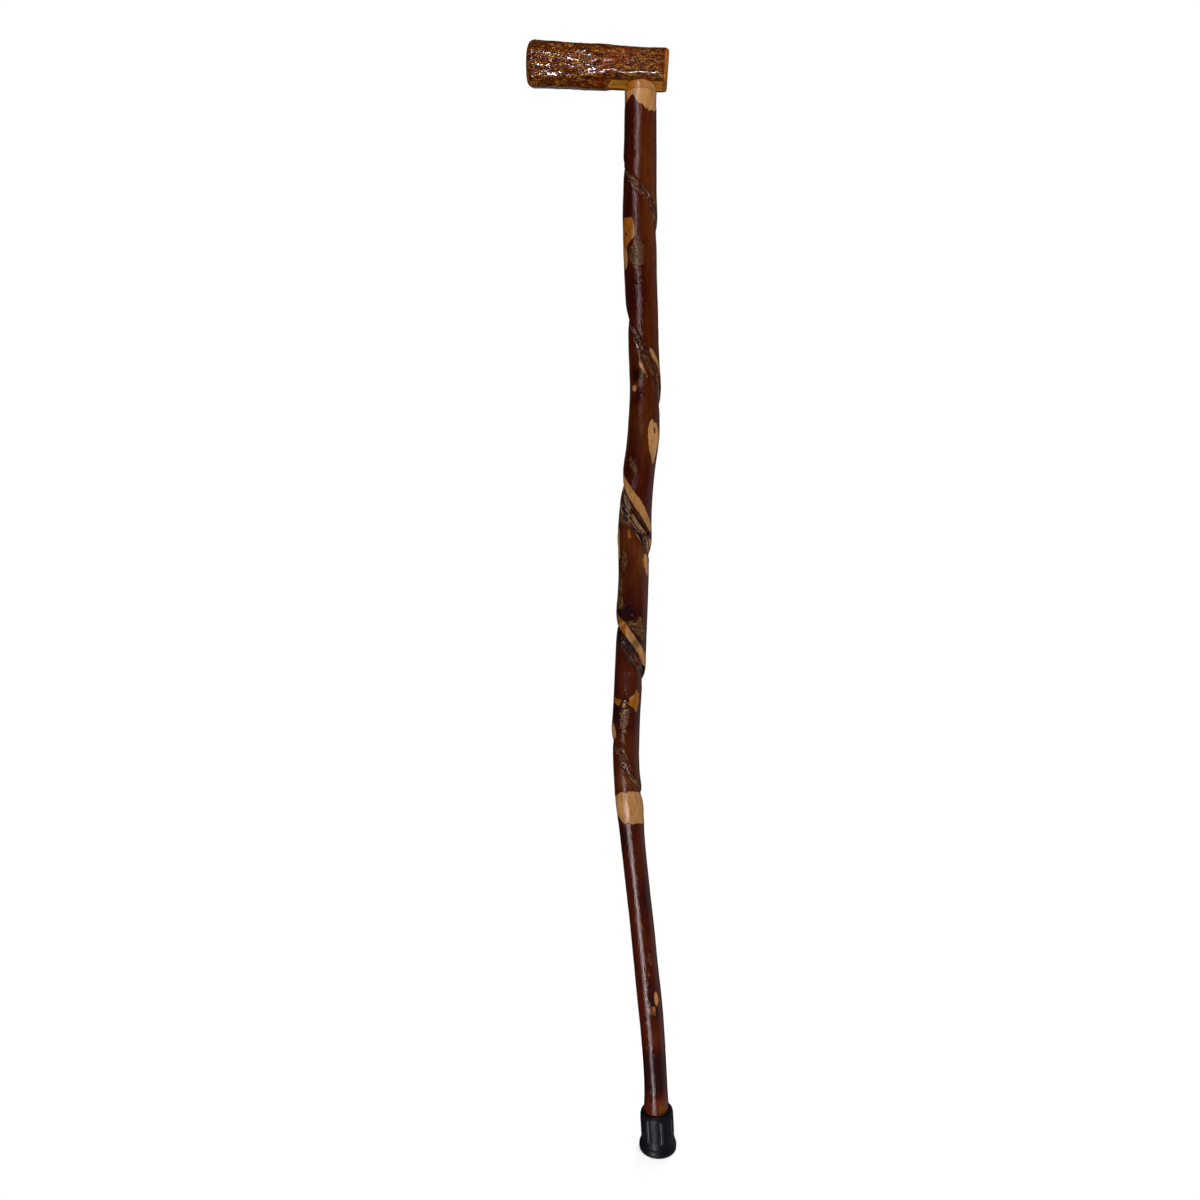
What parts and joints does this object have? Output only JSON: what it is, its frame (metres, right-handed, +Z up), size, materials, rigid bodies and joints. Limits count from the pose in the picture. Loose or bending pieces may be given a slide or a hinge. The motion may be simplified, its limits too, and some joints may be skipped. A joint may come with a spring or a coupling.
{
  "type": "walking cane",
  "caption": "Walking cane made from a vine-twisted hardwood stick, with a bark-covered log crosspiece as its handle and a ribbed rubber foot.",
  "frame": {"origin": "middle of the rubber foot's flat underside, where the cane stands on the ground", "axes": "+Z up the cane to the handle; +X towards the short end of the handle; -Y towards the side that the picture shows"},
  "size_m": [0.1272, 0.0381, 0.9405],
  "materials": {
    "stained_stick": "smooth stained inner bark under gloss varnish, with sanded pale wood at the knots and the scar",
    "varnished_bark": "rough mottled bark under thick gloss varnish",
    "foot_rubber": "moulded, semi-matt",
    "washer_steel": "stamped"
  },
  "bodies": {
    "root": {"shaft": "stained_stick", "handle": "varnished_bark", "ferrule": "foot_rubber", "ferrule_washer": "washer_steel"}
  },
  "joints": []
}
